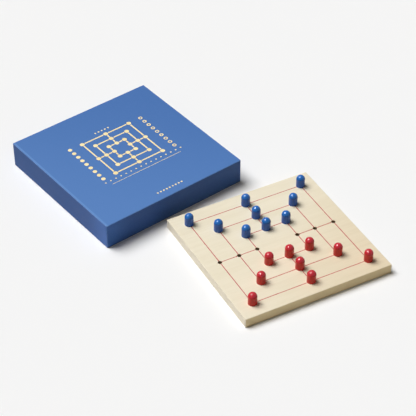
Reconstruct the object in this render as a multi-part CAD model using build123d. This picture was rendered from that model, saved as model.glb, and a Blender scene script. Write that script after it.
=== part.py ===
from build123d import *
import math
import os

# A boxed nine men's morris, in millimetres, +Z up: a closed square box and, in front of it, its own
# peg board with the eighteen men on their starting points. The origin is the middle of the tray's
# underside, on the surface that everything stands on. The box's front is towards -Y.

# Playing board
board_side = 249.0
board_thickness = 16.0
board_edge_break = 0.6
hole_diameter = 6.8
hole_depth = 10.0
board_margin = 25.5  # from the outermost square of the mill to the board's edges
outer_gap = 33.0  # from the outermost square of the mill to the middle one
inner_gap = 31.0  # from the middle square to the innermost one
line_width = 1.3
line_depth = 0.3

# Men: a domed cylinder on a thinner stem
head_diameter = 14.0
head_height = 20.4  # from the shoulder, which seats on the board, to the top of the dome
stem_clearance = 0.4  # all round, in its hole
stem_end_gap = 1.0  # under the stem, so that the shoulder seats first

# Box: lid and tray are both made of greyboard, tied at the corners and covered with paper
greyboard = 2.0
paper = 0.2
stay_paper = 0.1
stay_leg = 22.0
turn_in = 15.0  # how far the covering paper is turned in over a rim
corner_radius = 1.8
fold_radius = 1.2  # along the edges of the closed end
board_clearance = 0.6  # each side, between the playing board and the tray
headroom = 2.2  # over the men, when the board is put away with them in it
lid_gap = 0.5  # each side, between the tray and the lid
rim_gap = 0.8  # the lid's rim stays this far above the table

# Where the playing board lies, in front of the box
board_gap = 16.9  # between the box's front and the nearest corner of the board
board_shift = 70.2  # of its middle, towards +X
board_turn = -10.2  # degrees about +Z

# What follows from these sizes
wall = greyboard + 2 * paper
tray_side = board_side + 2 * (board_clearance + wall)
tray_height = wall + board_thickness + head_height + headroom
lid_side = tray_side + 2 * (lid_gap + wall)
box_height = tray_height + wall
head_radius = head_diameter / 2
stem_radius = hole_diameter / 2 - stem_clearance
stem_length = hole_depth - stem_end_gap
outer_half = board_side / 2 - board_margin
middle_half = outer_half - outer_gap
inner_half = middle_half - inner_gap

UPWARD = (Align.CENTER, Align.CENTER, Align.MIN)
SQUARES = (outer_half, middle_half, inner_half)  # half sides of the mill's squares
SIDES = (-1, 0, 1)


def block(side, bottom, top):
    """A sharp-cornered square block between two heights."""
    return Pos(0, 0, bottom) * Box(side, side, top - bottom, align=UPWARD)


def rounded_block(side, bottom, top, radius):
    """A square block between two heights, with its upright edges rounded."""
    return extrude(Plane.XY.offset(bottom) * RectangleRounded(side, side, radius), top - bottom)


def folded_block(side, top, inset):
    """A rounded block with its lowest edges rounded too, set in from the box's outside."""
    body = rounded_block(side - 2 * inset, inset, top, corner_radius - inset)
    return fillet(body.faces().sort_by(Axis.Z)[0].edges(), fold_radius - inset)


# One half of the box, standing on its closed end at z = 0 with its rim at z = height


def half_inside(side):
    """The clear width between the bare greyboard walls."""
    return side - 2 * (paper + greyboard)


def greyboard_blank(side, height):
    """The blank, folded up: a floor and four walls, all inside the covering paper."""
    hollow = block(half_inside(side), paper + greyboard, height)
    return folded_block(side, height - paper, paper) - hollow


def corner_stays(side, height):
    """Four strips of paper that tie the walls together round the outside of each corner."""
    core_side = side - 2 * paper
    core_radius = corner_radius - paper
    bottom = fold_radius
    top = height - paper
    band = rounded_block(core_side + 2 * stay_paper, bottom, top, core_radius + stay_paper)
    band -= rounded_block(core_side, bottom, top, core_radius)
    reach = side / 2 - stay_leg / 2
    corners = [
        Pos(x * reach, y * reach, 0) * block(stay_leg, 0, height) & band
        for x in (-1, 1)
        for y in (-1, 1)
    ]
    return Compound(children=corners)


def paper_wrap(side, height):
    """One sheet over the closed end and the walls, turned over the rim and down inside."""
    turned_to = height - turn_in
    sheet = folded_block(side, height, 0)
    sheet -= block(half_inside(side), paper + greyboard, turned_to)
    sheet -= block(half_inside(side) - 2 * paper, turned_to, height)
    sheet -= greyboard_blank(side, height)
    return sheet - corner_stays(side, height)


def liner(side):
    """The sheet glued on the inside of the closed end."""
    floor = paper + greyboard
    return block(half_inside(side) - 2 * paper, floor, floor + paper)


def box_half(name, side, height):
    """The four pieces of a lid or a tray, by their names."""
    return {
        f"{name}_board": greyboard_blank(side, height),
        f"{name}_corner_stays": corner_stays(side, height),
        f"{name}_wrap": paper_wrap(side, height),
        f"{name}_liner": liner(side),
    }


def tray():
    return box_half("tray", tray_side, tray_height)


def lid():
    """The same construction, turned over: its closed end is the top of the box."""
    halves = box_half("lid", lid_side, box_height - rim_gap)
    return {name: Pos(0, 0, box_height) * mirror(shape, Plane.XY) for name, shape in halves.items()}


# The game


def mill_points():
    """The 24 points: corners and side middles of three squares, from the board's middle."""
    return [(x * half, y * half) for half in SQUARES for y in SIDES for x in SIDES if x or y]


def mill_grooves():
    """The painted lines: three squares, and four lines that join the middles of their sides."""
    lines = Sketch()
    for half in SQUARES:
        lines += Rectangle(2 * half + line_width, 2 * half + line_width)
        lines -= Rectangle(2 * half - line_width, 2 * half - line_width)
    middle = Pos((inner_half + outer_half) / 2, 0)
    for quarter in range(4):
        lines += Rot(0, 0, 90 * quarter) * middle * Rectangle(outer_half - inner_half, line_width)
    return extrude(Plane.XY.offset(board_thickness) * lines, -line_depth)


def playing_board():
    body = chamfer(block(board_side, 0, board_thickness).edges(), board_edge_break)
    drill = Cylinder(hole_diameter / 2, hole_depth, align=UPWARD)
    floor = board_thickness - hole_depth
    holes = [Pos(x, y, floor) * drill for x, y in mill_points()]
    return body - mill_grooves() - holes


def man():
    """A turned man, its shoulder at z = 0: a stem below, a straight head with a round dome above."""
    shoulder = head_height - head_radius
    with BuildPart() as turned:
        with BuildSketch(Plane.XZ):
            with BuildLine():
                Polyline(
                    (0, head_height),
                    (0, -stem_length),
                    (stem_radius, -stem_length),
                    (stem_radius, 0),
                    (head_radius, 0),
                    (head_radius, shoulder),
                )
                RadiusArc((head_radius, shoulder), (0, head_height), -head_radius)
            make_face()
        revolve(axis=Axis.Z)
    return turned.part


def set_of_men(colour, side, place):
    """Nine men on one player's side of the mill: three on each square, from the outermost in."""
    starts = [(x * half, side * half) for half in SQUARES for x in SIDES]
    shape = man()
    return {
        f"{colour}_man_{number}": place * Pos(x, y, board_thickness) * shape
        for number, (x, y) in enumerate(starts, 1)
    }


turn = math.radians(abs(board_turn))
board_reach = board_side / 2 * (math.cos(turn) + math.sin(turn))
board_place = Pos(board_shift, -(lid_side / 2 + board_gap + board_reach), 0) * Rot(0, 0, board_turn)

pieces = {
    **tray(),
    **lid(),
    "playing_board": board_place * playing_board(),
    **set_of_men("blue", 1, board_place),
    **set_of_men("red", -1, board_place),
}

os.makedirs("parts", exist_ok=True)
for name, shape in pieces.items():
    export_step(shape, f"parts/{name}.step")
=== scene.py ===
import math

import bmesh
import bpy
from mathutils import Matrix, Vector


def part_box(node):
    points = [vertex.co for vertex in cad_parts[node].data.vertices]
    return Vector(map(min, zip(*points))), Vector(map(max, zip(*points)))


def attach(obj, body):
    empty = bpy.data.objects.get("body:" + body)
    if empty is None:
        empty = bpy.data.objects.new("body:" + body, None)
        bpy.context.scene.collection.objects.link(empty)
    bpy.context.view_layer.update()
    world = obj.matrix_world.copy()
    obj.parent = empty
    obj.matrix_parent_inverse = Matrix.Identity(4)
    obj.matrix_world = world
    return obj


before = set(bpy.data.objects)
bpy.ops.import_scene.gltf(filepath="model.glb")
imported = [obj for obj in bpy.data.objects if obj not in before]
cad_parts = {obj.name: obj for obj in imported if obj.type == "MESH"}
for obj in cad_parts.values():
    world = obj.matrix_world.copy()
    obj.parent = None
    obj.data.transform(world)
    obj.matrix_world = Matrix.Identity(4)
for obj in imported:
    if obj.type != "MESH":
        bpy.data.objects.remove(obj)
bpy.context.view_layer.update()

# A boxed nine men's morris: the closed box, and in front of it its peg board with the men set out.
# Everything is in metres, in the frame of the CAD parts, which keep their shapes and get their
# finishes here. Added are the paint in the board's grooves and the foil stamped on the lid.

MM = 0.001

# Camera: where it looks at on the table, from where, and through which lens
VIEW_AIM = Vector((0.0483, -0.15, 0.0))
VIEW_AZIMUTH = math.radians(-38.24)
VIEW_ELEVATION = math.radians(40.21)
VIEW_DISTANCE = 2.3615
VIEW_REACH = 100.0
LENS_MM = 130.3

# Light, as shares of the light on a level surface: from behind and to the left, and from the room.
# The spark is a small bright light that shows in glossy surfaces only.
KEY_AZIMUTH = math.radians(-150)
KEY_ELEVATION = math.radians(62)
KEY_SPREAD = math.radians(37)
KEY_LEVEL = 0.92
SPARK_AZIMUTH = math.radians(-117)
SPARK_ELEVATION = math.radians(62)
SPARK_SPREAD = math.radians(14)
SPARK_LEVEL = 1.1
ROOM_LEVEL = 0.08
ROOM_LEAN = 0.5  # from even, 0, to brightest at the front left, 1
ROOM_COLOUR = (1.0, 0.92, 0.76, 1.0)

# Table: its size, how pale it looks, and how much light it throws back on to the object. The
# backdrop is what shows beyond it.
TABLE_SIDE = 40.0
TABLE_SHADE = (0.918, 0.922, 0.93, 1.0)
TABLE_BOUNCE = 0.7
BACKDROP_LEVEL = 0.92

# The covering paper's painted light and shade, by how far points are from the lid's middle or from
# its left edge
TOP_PAINTED_LIGHT_SPAN = 270.0 * MM  # X + Y, either way, over which the top is painted paler to the front left and deeper to the back right
CORNER_PAINTED_LIGHT = (-200.0 * MM, -260.0 * MM)  # X + Y, where a side is painted paler towards the front left corner, as painted light
LEFT_SIDE_PAINTED_SHADE = (10.0 * MM, 130.0 * MM)  # Y - X, where the left side is painted deeper towards the back, as painted shade
LEFT_HIGHLIGHT_START = (1.0 * MM, 2.0 * MM)  # in from the left edge, where a painted highlight on the top's left fold begins
LEFT_HIGHLIGHT_END = (4.2 * MM, 3.0 * MM)

# The playing board's wood
BOARD_PAINTED_SHADE = (-60.0 * MM, 260.0 * MM)  # along less across, from the wood's own colour to wood painted darker, as painted shade
UNDERSIDE_MARGIN = 1.0 * MM  # from the board's underside up to where a surface may be a hole's

# The men's lacquer, by height over the board, and the dark that shows in its grain
# Between these heights the dome's painted light gives way to the body's painted shade
DOME_TO_BODY = (17.5 * MM, 13.0 * MM)
RIM_KNOCKS = (0.4 * MM, 0.1 * MM)
STEM_WEAR = (0.0, -2.5 * MM)
DARK_GRAIN = (0.02, 0.015, 0.01, 1.0)

# The painted lines of the mill, and the holes that they run between
HOLE_RADIUS = 3.4 * MM
GROOVE_WIDTH = 1.3 * MM
GROOVE_DEPTH = 0.3 * MM
PAINT_RECESS = 0.08 * MM  # under the board's face
PAINT_DEPTH = 0.2 * MM

# The foil on the lid, whose X and Y are the lid's own
FOIL_RISE = 0.03 * MM  # over the paper, and it reaches as far into it
DIAGRAM_MIDDLE = Vector((1.5, 12.0)) * MM
DIAGRAM_SIDE = 92.0 * MM
DIAGRAM_LINE = 2.5 * MM
DIAGRAM_POINT = 3.9 * MM
DIAGRAM_GAP = 0.9 * MM  # between a line's end and a point
MEN_COLUMN = 69.5 * MM  # from the diagram's middle
MEN_RADIUS = 3.5 * MM
DOT_ROWS = (  # how many, first X, last X, Y and radius, in millimetres
    (5, -11.0, 14.0, 69.5, 1.5),
    (16, -71.0, 75.0, -45.0, 1.3),
    (9, -22.0, 24.0, -114.5, 1.5),
)
RULE_START = Vector((-64.0, -53.5)) * MM
RULE_END = Vector((69.0, -53.5)) * MM
RULE_WIDTH = 0.7 * MM
ROUND_SIDES = 40
MERGE_DISTANCE = 0.001 * MM  # between corners that are one

# The men of the two players
MEN_EACH = 9
BLUE_MEN = [f"blue_man_{number}" for number in range(1, MEN_EACH + 1)]
RED_MEN = [f"red_man_{number}" for number in range(1, MEN_EACH + 1)]


def srgb(red, green, blue):
    """A colour given as it looks on a screen, 0 to 255, in linear light."""

    def linear(value):
        value /= 255
        return value / 12.92 if value <= 0.04045 else ((value + 0.055) / 1.055) ** 2.4

    return (linear(red), linear(green), linear(blue), 1.0)


def socket_called(sockets, identifier):
    """The socket with this identifier, where several have one name."""
    return next(socket for socket in sockets if socket.identifier == identifier)


class Tree:
    """The nodes of a material or a world. Each call adds one and gives back the socket that it
    ends in."""

    def __init__(self, owner):
        self.owner = owner
        owner.use_nodes = True
        self.nodes = owner.node_tree.nodes
        self.links = owner.node_tree.links
        self.nodes.clear()

    def put(self, socket, value):
        """Links the socket to another one, or sets its number or colour."""
        if isinstance(value, bpy.types.NodeSocket):
            self.links.new(value, socket)
        else:
            socket.default_value = value

    def place(self):
        """Where a point is on the object, in metres."""
        return self.nodes.new("ShaderNodeTexCoord").outputs["Object"]

    def facing(self):
        """Which way the surface faces, on the object."""
        return self.nodes.new("ShaderNodeTexCoord").outputs["Normal"]

    def turned(self, where, middle, turn):
        """Coordinates of a frame that has its own middle and turn about +Z."""
        node = self.nodes.new("ShaderNodeMapping")
        node.vector_type = "TEXTURE"
        node.inputs["Location"].default_value = middle
        node.inputs["Rotation"].default_value = (0.0, 0.0, turn)
        self.put(node.inputs["Vector"], where)
        return node.outputs[0]

    def stretched(self, where, factors):
        node = self.nodes.new("ShaderNodeMapping")
        node.inputs["Scale"].default_value = factors
        self.put(node.inputs["Vector"], where)
        return node.outputs[0]

    def split(self, vector):
        """The three parts of a vector."""
        node = self.nodes.new("ShaderNodeSeparateXYZ")
        self.put(node.inputs[0], vector)
        return node.outputs[0], node.outputs[1], node.outputs[2]

    def math(self, operation, *values):
        node = self.nodes.new("ShaderNodeMath")
        node.operation = operation
        for socket, value in zip(node.inputs, values):
            self.put(socket, value)
        return node.outputs[0]

    def noise(self, where, scale, detail=2.0, roughness=0.5, distortion=0.0):
        node = self.nodes.new("ShaderNodeTexNoise")
        node.inputs["Scale"].default_value = scale
        node.inputs["Detail"].default_value = detail
        node.inputs["Roughness"].default_value = roughness
        node.inputs["Distortion"].default_value = distortion
        self.put(node.inputs["Vector"], where)
        return node.outputs["Fac"]

    def ramp(self, value, low, high, to_low=0.0, to_high=1.0):
        """value from low to high becomes to_low to to_high, and stays within them."""
        node = self.nodes.new("ShaderNodeMapRange")
        node.interpolation_type = "SMOOTHSTEP"
        for name, limit in (
            ("From Min", low),
            ("From Max", high),
            ("To Min", to_low),
            ("To Max", to_high),
        ):
            node.inputs[name].default_value = limit
        self.put(node.inputs["Value"], value)
        return node.outputs[0]

    def mix(self, share, base, other):
        """The colour that lies this share of the way from one to the other."""
        node = self.nodes.new("ShaderNodeMix")
        node.data_type = "RGBA"
        self.put(node.inputs["Factor"], share)
        self.put(socket_called(node.inputs, "A_Color"), base)
        self.put(socket_called(node.inputs, "B_Color"), other)
        return socket_called(node.outputs, "Result_Color")

    def between(self, share, low, high):
        """The number that lies this share of the way from one to the other."""
        node = self.nodes.new("ShaderNodeMix")
        self.put(node.inputs["Factor"], share)
        self.put(node.inputs["A"], low)
        self.put(node.inputs["B"], high)
        return node.outputs["Result"]

    def bump(self, height, distance, strength=1.0, under=None):
        """height from 0 to 1 stands for distance, in metres."""
        node = self.nodes.new("ShaderNodeBump")
        node.inputs["Strength"].default_value = strength
        node.inputs["Distance"].default_value = distance
        self.put(node.inputs["Height"], height)
        if under is not None:
            self.put(node.inputs["Normal"], under)
        return node.outputs[0]

    def surface(self, colour, roughness, normal, **constants):
        """The finished material."""
        shader = self.nodes.new("ShaderNodeBsdfPrincipled")
        self.put(shader.inputs["Base Color"], colour)
        self.put(shader.inputs["Roughness"], roughness)
        self.put(shader.inputs["Normal"], normal)
        for name, value in constants.items():
            shader.inputs[name.replace("_", " ")].default_value = value
        output = self.nodes.new("ShaderNodeOutputMaterial")
        self.links.new(shader.outputs[0], output.inputs["Surface"])
        return self.owner


def material_tree(name):
    return Tree(bpy.data.materials.new(name))


def folds(tree):
    """1 on the broken edges and rounded corners of an upright box, 0 on its flat faces."""
    parts = [tree.math("ABSOLUTE", part) for part in tree.split(tree.facing())]
    flatness = tree.math("MAXIMUM", tree.math("MAXIMUM", parts[0], parts[1]), parts[2])
    return tree.ramp(flatness, 0.98, 0.9)


def covering_paper():
    """Coated paper round board: a fine tooth, and folds that are rubbed paler. Painted light and
    shade:
    a painted highlight along the top's left edge, the top and the sides painted paler towards the
    front left corner, the top deeper towards the back right and the left side towards the back,
    and the sides deeper than the top."""
    tree = material_tree("covering_paper")
    place = tree.place()
    tooth = tree.noise(place, 2600, detail=3)
    mottle = tree.noise(place, 380, detail=4, roughness=0.6)
    drift = tree.noise(place, 9, detail=2)
    right, back, _ = tree.split(place)
    along = tree.math("ADD", right, back)
    # The top is painted paler at the front left and deeper at the back right: painted light and
    # shade
    top = tree.mix(tree.ramp(along, -TOP_PAINTED_LIGHT_SPAN, TOP_PAINTED_LIGHT_SPAN), srgb(77, 122, 185), srgb(57, 104, 169))
    inward = tree.math("SUBTRACT", right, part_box("lid_wrap")[0].x)
    # A paler band just in from the top's left edge: a painted highlight on the fold
    left_highlight = tree.math(
        "MULTIPLY", tree.ramp(inward, *LEFT_HIGHLIGHT_START), tree.ramp(inward, *LEFT_HIGHLIGHT_END)
    )
    top = tree.mix(left_highlight, top, srgb(91, 136, 196))
    # The sides get deeper blues than the top: painted shade, as well as a random drift in tone
    side = tree.mix(tree.ramp(drift, 0.3, 0.7), srgb(42, 83, 150), srgb(46, 88, 156))
    # The sides are painted paler towards the front left corner: painted light
    side = tree.mix(tree.ramp(along, *CORNER_PAINTED_LIGHT), side, srgb(60, 106, 180))
    # The left side is painted deeper towards the back: painted shade
    left_side_shade = tree.ramp(tree.math("SUBTRACT", back, right), *LEFT_SIDE_PAINTED_SHADE)
    side = tree.mix(left_side_shade, side, srgb(22, 73, 139))
    # Upward faces take the top's colour and the others the sides' deeper one: painted shade on the
    # sides
    blue = tree.mix(tree.ramp(tree.split(tree.facing())[2], 0.6, 0.2), top, side)
    blue = tree.mix(tree.ramp(mottle, 0.35, 0.75, 0.0, 0.12), blue, srgb(90, 130, 190))
    rubbed = tree.math("MULTIPLY", folds(tree), tree.ramp(mottle, 0.4, 0.62, 0.08, 0.45))
    colour = tree.mix(rubbed, blue, srgb(120, 153, 204))
    roughness = tree.ramp(mottle, 0.3, 0.7, 0.46, 0.54)
    grain = tree.bump(tooth, 0.02 * MM, strength=0.4)
    waves = tree.bump(tree.noise(place, 45, detail=1), 0.05 * MM, strength=0.3, under=grain)
    return tree.surface(colour, roughness, waves, Specular_IOR_Level=0.25)


def lining_paper():
    """Plain uncoated paper, with fibres that show."""
    tree = material_tree("lining_paper")
    place = tree.place()
    fibres = tree.noise(tree.stretched(place, (1.0, 3.0, 1.0)), 700, detail=4, roughness=0.65)
    clouds = tree.noise(place, 60, detail=3)
    colour = tree.mix(tree.ramp(clouds, 0.3, 0.7), srgb(228, 222, 208), srgb(236, 231, 219))
    colour = tree.mix(tree.ramp(fibres, 0.55, 0.8, 0.0, 0.3), colour, srgb(205, 196, 178))
    return tree.surface(colour, 0.85, tree.bump(fibres, 0.04 * MM, strength=0.6))


def stay_paper():
    """Brown kraft tape, glued down."""
    tree = material_tree("stay_paper")
    fibres = tree.noise(tree.stretched(tree.place(), (1.0, 1.0, 4.0)), 900, detail=4, roughness=0.7)
    colour = tree.mix(tree.ramp(fibres, 0.35, 0.7), srgb(176, 142, 100), srgb(205, 175, 132))
    return tree.surface(colour, 0.8, tree.bump(fibres, 0.03 * MM, strength=0.6))


def greyboard():
    """Board of waste paper: grey, with darker and paler flecks pressed in."""
    tree = material_tree("greyboard")
    place = tree.place()
    flecks = tree.noise(place, 1500, detail=2, roughness=0.8)
    layers = tree.noise(tree.stretched(place, (1.0, 1.0, 12.0)), 260, detail=3)
    colour = tree.mix(tree.ramp(layers, 0.3, 0.7), srgb(150, 145, 134), srgb(176, 170, 158))
    colour = tree.mix(tree.ramp(flecks, 0.62, 0.72, 0.0, 0.7), colour, srgb(92, 88, 82))
    colour = tree.mix(tree.ramp(flecks, 0.38, 0.3, 0.0, 0.6), colour, srgb(212, 207, 196))
    return tree.surface(colour, 0.9, tree.bump(flecks, 0.05 * MM, strength=0.7))


def board_wood(mill):
    """Pale wood under a thin cream stain: grain along the board, end grain on two of its edges.
    The top is painted darker towards one corner as painted shade, the end grain paler than the top
    as painted light, and the long edges a warmer tan as painted warm shade.
    """
    tree = material_tree("board_wood")
    place = tree.turned(tree.place(), mill.middle, mill.turn)
    along, across, up = tree.split(place)
    facing = tree.turned(tree.facing(), (0.0, 0.0, 0.0), mill.turn)
    end_grain_painted_paler = tree.ramp(tree.math("ABSOLUTE", tree.split(facing)[0]), 0.6, 0.9)

    fibres = tree.noise(tree.stretched(place, (0.03, 1.0, 1.0)), 1400, detail=4, roughness=0.6)
    rings = tree.noise(
        tree.stretched(place, (0.06, 1.0, 0.35)), 95, detail=3, roughness=0.55, distortion=0.6
    )
    pores = tree.noise(place, 2400, detail=2, roughness=0.7)
    figure = tree.math("ADD", tree.math("MULTIPLY", rings, 0.6), tree.math("MULTIPLY", fibres, 0.4))
    pale = tree.mix(tree.ramp(figure, 0.36, 0.64), srgb(230, 220, 195), srgb(235, 226, 203))
    shaded_wood = tree.mix(tree.ramp(figure, 0.36, 0.64), srgb(220, 204, 173), srgb(227, 212, 183))
    # The top is painted darker towards one corner: painted shade
    colour = tree.mix(tree.ramp(tree.math("SUBTRACT", along, across), *BOARD_PAINTED_SHADE), pale, shaded_wood)
    # The long edges are painted a warmer tan, as painted warm shade, and the end grain paler than
    # the top, as painted light
    long_edge_warm_shade = tree.ramp(tree.math("ABSOLUTE", tree.split(facing)[1]), 0.6, 0.9)
    colour = tree.mix(long_edge_warm_shade, colour, tree.mix(figure, srgb(237, 213, 162), srgb(247, 226, 180)))
    ends = tree.mix(tree.ramp(pores, 0.3, 0.7), srgb(239, 227, 202), srgb(247, 238, 219))
    colour = tree.mix(end_grain_painted_paler, colour, ends)

    # The holes are the only surfaces inside the board, and their walls are painted a darker brown:
    # painted shade
    reach = tree.math("MAXIMUM", tree.math("ABSOLUTE", along), tree.math("ABSOLUTE", across))
    inside = tree.math("LESS_THAN", reach, max(mill.halves) + 2 * HOLE_RADIUS)
    below = tree.math("LESS_THAN", up, -2 * GROOVE_DEPTH)
    above = tree.math("GREATER_THAN", up, UNDERSIDE_MARGIN - mill.middle.z)
    hole_shade = tree.math("MULTIPLY", tree.math("MULTIPLY", inside, below), above)
    colour = tree.mix(tree.math("MULTIPLY", hole_shade, 0.85), colour, srgb(120, 92, 58))

    roughness = tree.ramp(figure, 0.35, 0.65, 0.5, 0.62)
    grain = tree.bump(fibres, 0.02 * MM, strength=0.3)
    normal = tree.bump(rings, 0.04 * MM, strength=0.2, under=grain)
    return tree.surface(colour, roughness, normal, Specular_IOR_Level=0.35)


def line_paint():
    """Thin red paint, drawn along the grooves: uneven, and worn where the men slide over it."""
    tree = material_tree("line_paint")
    place = tree.place()
    patchy = tree.noise(place, 160, detail=4, roughness=0.65)
    brushed = tree.noise(place, 1800, detail=2)
    colour = tree.mix(tree.ramp(patchy, 0.3, 0.7), srgb(172, 46, 52), srgb(192, 66, 66))
    colour = tree.mix(tree.ramp(patchy, 0.68, 0.8, 0.0, 0.5), colour, srgb(214, 150, 132))
    return tree.surface(colour, 0.55, tree.bump(brushed, 0.03 * MM, strength=0.4))


def lacquer(name, dome, body, mill):
    """Paint on turned wood: thick and glossy on the dome, thinner and duller on the straight body,
    which shows its grain, and worn through on the stem. The dome's colour is painted light and the
    body's painted shade, changing between the heights of DOME_TO_BODY."""
    tree = material_tree(name)
    place = tree.place()
    height = tree.math("SUBTRACT", tree.split(place)[2], mill.middle.z)
    pull = tree.noise(place, 420, detail=2)
    fibres = tree.noise(tree.stretched(place, (1.0, 1.0, 0.08)), 1600, detail=3, roughness=0.6)
    straight = tree.ramp(height, *DOME_TO_BODY)
    # The dome's colour is painted light and the body's painted shade
    colour = tree.mix(straight, dome, body)
    dusky = tree.mix(0.3, colour, DARK_GRAIN)
    streaks = tree.math("MULTIPLY", straight, tree.ramp(fibres, 0.35, 0.65))
    colour = tree.mix(streaks, colour, dusky)

    wood = tree.mix(tree.ramp(fibres, 0.3, 0.7), srgb(206, 178, 136), srgb(226, 203, 164))
    thin = tree.ramp(height, *STEM_WEAR)
    bare = tree.math("MULTIPLY", thin, tree.ramp(fibres, 0.42, 0.56))
    knocked = tree.math("MULTIPLY", tree.ramp(height, *RIM_KNOCKS), tree.ramp(pull, 0.7, 0.76))
    worn = tree.math("MAXIMUM", bare, knocked)
    colour = tree.mix(worn, colour, wood)
    dull = tree.math("MAXIMUM", worn, straight)
    gloss = tree.ramp(pull, 0.3, 0.7, 0.12, 0.16)
    roughness = tree.math("ADD", gloss, tree.math("MULTIPLY", dull, 0.16))
    grain = tree.bump(fibres, 0.008 * MM, strength=0.25)
    normal = tree.bump(pull, 0.01 * MM, strength=0.2, under=grain)
    return tree.surface(colour, roughness, normal, Specular_IOR_Level=0.32)


def foil():
    """Cream pigment foil: smoother than the paper, with pinholes where it hasn't taken."""
    tree = material_tree("stamped_foil")
    place = tree.place()
    specks = tree.noise(place, 1500, detail=3, roughness=0.7)
    drift = tree.noise(place, 60, detail=2)
    colour = tree.mix(tree.ramp(drift, 0.3, 0.7), srgb(246, 222, 160), srgb(252, 232, 178))
    colour = tree.mix(tree.ramp(specks, 0.68, 0.74, 0.0, 0.8), colour, srgb(92, 132, 190))
    return tree.surface(colour, 0.38, tree.bump(specks, 0.01 * MM, strength=0.4), Metallic=0.15)


def seen_ray(tree):
    """1 for what is looked at, straight or in a reflection, and 0 for light on its way."""
    path = tree.nodes.new("ShaderNodeLightPath")
    mirrored = tree.math(
        "MAXIMUM", path.outputs["Is Glossy Ray"], path.outputs["Is Transmission Ray"]
    )
    return tree.math("MAXIMUM", path.outputs["Is Camera Ray"], mirrored)


def table_top():
    """A pale table, which looks paler than the light that it throws back."""
    tree = material_tree("table_top")
    shown = tree.nodes.new("ShaderNodeBsdfDiffuse")
    shown.inputs["Color"].default_value = TABLE_SHADE
    dim = tree.nodes.new("ShaderNodeBsdfDiffuse")
    dim.inputs["Color"].default_value = (TABLE_BOUNCE, TABLE_BOUNCE, TABLE_BOUNCE, 1.0)
    chosen = tree.nodes.new("ShaderNodeMixShader")
    tree.put(chosen.inputs[0], seen_ray(tree))
    tree.links.new(dim.outputs[0], chosen.inputs[1])
    tree.links.new(shown.outputs[0], chosen.inputs[2])
    output = tree.nodes.new("ShaderNodeOutputMaterial")
    tree.links.new(chosen.outputs[0], output.inputs["Surface"])
    return tree.owner


class Mill:
    """Where the mill is on the playing board, found from the men that stand on its points."""

    def __init__(self):
        low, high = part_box("playing_board")
        self.middle = Vector(((low.x + high.x) / 2, (low.y + high.y) / 2, high.z))
        rows = [self.row(number, number + 2) for number in (1, 4, 7)]
        self.halves = [row.length / 2 for row in rows]
        self.turn = math.atan2(rows[0].y, rows[0].x)

    def row(self, first, last):
        """From one corner of a square to the next, where the blue men of these numbers stand."""
        start, end = (sum(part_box(f"blue_man_{number}"), Vector()) / 2 for number in (first, last))
        return end - start


def mill_lines(halves, trim):
    """The mill's lines as pairs of ends, point to point, each end cut back by trim."""
    around = [(-1, -1), (0, -1), (1, -1), (1, 0), (1, 1), (0, 1), (-1, 1), (-1, 0)]
    pairs = []
    for half in halves:
        points = [Vector(point) * half for point in around]
        pairs += zip(points, points[1:] + points[:1])
    for side in ((1, 0), (0, 1), (-1, 0), (0, -1)):
        stations = [Vector(side) * half for half in halves]
        pairs += zip(stations, stations[1:])
    ends = []
    for start, end in pairs:
        cut = (end - start).normalized() * trim
        ends.append((start + cut, end - cut))
    return ends


def mill_points(halves):
    """The 24 points, where the lines meet."""
    return [
        Vector((x, y)) * half
        for half in halves
        for y in (-1, 0, 1)
        for x in (-1, 0, 1)
        if x or y
    ]


def bar(start, end, width):
    """The four corners of a straight line with a width."""
    side = (end - start).normalized().orthogonal() * width / 2
    return [start - side, end - side, end + side, start + side]


def circle(middle, radius):
    angles = [2 * math.pi * number / ROUND_SIDES for number in range(ROUND_SIDES)]
    return [middle + Vector((math.cos(angle), math.sin(angle))) * radius for angle in angles]


def ring(middle, outer, inner):
    """A ring, as the quads between two circles."""
    far, near = circle(middle, outer), circle(middle, inner)
    return [
        [far[number - 1], far[number], near[number], near[number - 1]]
        for number in range(ROUND_SIDES)
    ]


def thin_piece(name, outlines, top, thickness, material, body):
    """A piece of one thickness, made of flat outlines, whose upper face is at the height top."""
    work = bmesh.new()
    for outline in outlines:
        work.faces.new([work.verts.new((point.x, point.y, top)) for point in outline])
    bmesh.ops.remove_doubles(work, verts=work.verts, dist=MERGE_DISTANCE)
    bmesh.ops.recalc_face_normals(work, faces=work.faces)
    for face in work.faces:
        if face.normal.z < 0:
            face.normal_flip()
    mesh = bpy.data.meshes.new(name)
    work.to_mesh(mesh)
    work.free()
    mesh.materials.append(material)
    piece = bpy.data.objects.new(name, mesh)
    bpy.context.scene.collection.objects.link(piece)
    depth = piece.modifiers.new("depth", "SOLIDIFY")
    depth.thickness = thickness
    depth.offset = -1
    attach(piece, body)
    return piece


def paint_the_lines(mill):
    """Paint that fills the board's grooves almost to its face, and stops at the holes."""
    turn = Matrix.Rotation(mill.turn, 2)
    outlines = [
        [turn @ corner + mill.middle.to_2d() for corner in bar(start, end, GROOVE_WIDTH)]
        for start, end in mill_lines(mill.halves, HOLE_RADIUS)
    ]
    top = mill.middle.z - PAINT_RECESS
    piece = thin_piece("line_paint", outlines, top, PAINT_DEPTH, line_paint(), "board")


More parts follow.
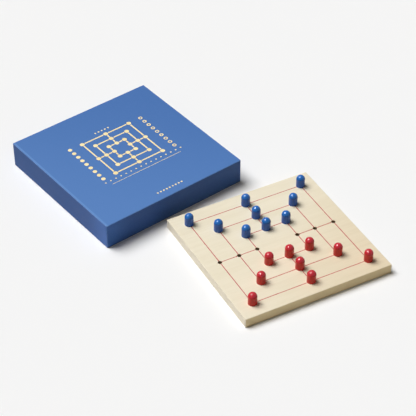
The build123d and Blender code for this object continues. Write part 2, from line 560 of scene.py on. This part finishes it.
def stamp_the_foil():
    """A mill diagram with both players' men beside it, and rows of dots round it, on the lid."""
    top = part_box("lid_wrap")[1].z + FOIL_RISE
    material = foil()
    reach = DIAGRAM_SIDE / 2
    halves = [reach, reach * 2 / 3, reach / 3]
    diagram = [
        [corner + DIAGRAM_MIDDLE for corner in bar(start, end, DIAGRAM_LINE)]
        for start, end in mill_lines(halves, DIAGRAM_POINT + DIAGRAM_GAP)
    ]
    diagram += [circle(DIAGRAM_MIDDLE + point, DIAGRAM_POINT) for point in mill_points(halves)]
    men = []
    for number in range(MEN_EACH):
        height = reach - number * DIAGRAM_SIDE / (MEN_EACH - 1)
        men.append(circle(DIAGRAM_MIDDLE + Vector((-MEN_COLUMN, height)), MEN_RADIUS))
        men += ring(DIAGRAM_MIDDLE + Vector((MEN_COLUMN, height)), MEN_RADIUS, MEN_RADIUS / 2)
    dots = []
    for count, left, right, y, radius in DOT_ROWS:
        for number in range(count):
            x = left + (right - left) * number / (count - 1)
            dots.append(circle(Vector((x, y)) * MM, radius * MM))
    rule = [bar(RULE_START, RULE_END, RULE_WIDTH)]
    for name, outlines in (
        ("foil_diagram", diagram),
        ("foil_men", men),
        ("foil_dots", dots),
        ("foil_rule", rule),
    ):
        piece = thin_piece(name, outlines, top, 2 * FOIL_RISE, material, "lid")


def finish_the_nodes(nodes, mill):
    """Gives each CAD part its material."""
    wrap, liner, stays, board = covering_paper(), lining_paper(), stay_paper(), greyboard()
    finishes = {}
    for half in ("lid", "tray"):
        finishes[f"{half}_wrap"] = wrap
        finishes[f"{half}_liner"] = liner
        finishes[f"{half}_corner_stays"] = stays
        finishes[f"{half}_board"] = board
    finishes["playing_board"] = board_wood(mill)
    # Each lacquer gets a dome colour as painted light and a body colour as painted shade
    blue = lacquer("blue_lacquer_finish", srgb(14, 104, 190), srgb(40, 94, 184), mill)
    red = lacquer("red_lacquer_finish", srgb(200, 32, 50), srgb(206, 38, 30), mill)
    finishes.update((name, blue) for name in BLUE_MEN)
    finishes.update((name, red) for name in RED_MEN)
    for name, material in finishes.items():
        nodes[name].data.materials.clear()
        nodes[name].data.materials.append(material)


def look_from(azimuth, elevation):
    """The way back to the viewer from what is looked at, as a rotation of right, up and back."""
    back = Vector(
        (
            math.sin(azimuth) * math.cos(elevation),
            -math.cos(azimuth) * math.cos(elevation),
            math.sin(elevation),
        )
    )
    right = Vector((math.cos(azimuth), math.sin(azimuth), 0.0))
    return Matrix((right, back.cross(right), back)).transposed()


def set_the_camera():
    data = bpy.data.cameras.new("camera")
    data.lens = LENS_MM
    data.clip_end = VIEW_REACH
    camera = bpy.data.objects.new("camera", data)
    turn = look_from(VIEW_AZIMUTH, VIEW_ELEVATION)
    place = VIEW_AIM + turn.col[2] * VIEW_DISTANCE
    camera.matrix_world = Matrix.Translation(place) @ turn.to_4x4()
    bpy.context.scene.collection.objects.link(camera)
    bpy.context.scene.camera = camera


def hang_a_light(name, azimuth, elevation, spread, level):
    """A far lamp that makes a level white surface this bright."""
    data = bpy.data.lights.new(name, "SUN")
    data.angle = spread
    data.energy = level / math.sin(elevation) * math.pi
    lamp = bpy.data.objects.new(name, data)
    lamp.matrix_world = look_from(azimuth, elevation).to_4x4()
    bpy.context.scene.collection.objects.link(lamp)
    return lamp


def hang_the_lights():
    hang_a_light("key_light", KEY_AZIMUTH, KEY_ELEVATION, KEY_SPREAD, KEY_LEVEL)
    spark = hang_a_light("spark", SPARK_AZIMUTH, SPARK_ELEVATION, SPARK_SPREAD, SPARK_LEVEL)
    spark.visible_diffuse = False


def light_the_room():
    """A dim light from all round, with a pale backdrop for whatever looks past the table."""
    world = bpy.data.worlds.new("room")
    bpy.context.scene.world = world
    tree = Tree(world)
    heading = tree.nodes.new("ShaderNodeTexCoord").outputs["Generated"]
    right, back, _ = tree.split(heading)
    lean = tree.math("MULTIPLY", tree.math("ADD", right, back), ROOM_LEAN)
    falling = tree.math("POWER", tree.math("SUBTRACT", 1.0, lean), 2.0)
    mean = 1 + ROOM_LEAN**2 / 2  # of falling, as a level surface gathers it
    level = tree.math("MULTIPLY", falling, ROOM_LEVEL / mean)
    seen = seen_ray(tree)
    background = tree.nodes.new("ShaderNodeBackground")
    tree.put(background.inputs["Color"], tree.mix(seen, ROOM_COLOUR, (1.0, 1.0, 1.0, 1.0)))
    tree.put(background.inputs["Strength"], tree.between(seen, level, BACKDROP_LEVEL))
    output = tree.nodes.new("ShaderNodeOutputWorld")
    tree.links.new(background.outputs[0], output.inputs["Surface"])


def lay_the_table():
    mesh = bpy.data.meshes.new("table")
    half = TABLE_SIDE / 2
    mesh.from_pydata(
        [(-half, -half, 0.0), (half, -half, 0.0), (half, half, 0.0), (-half, half, 0.0)],
        [],
        [(0, 1, 2, 3)],
    )
    mesh.materials.append(table_top())
    table = bpy.data.objects.new("table", mesh)
    bpy.context.scene.collection.objects.link(table)


the_mill = Mill()
set_the_camera()
hang_the_lights()
light_the_room()
lay_the_table()
finish_the_nodes(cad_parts, the_mill)
paint_the_lines(the_mill)
stamp_the_foil()
bpy.context.scene.view_settings.view_transform = "Standard"
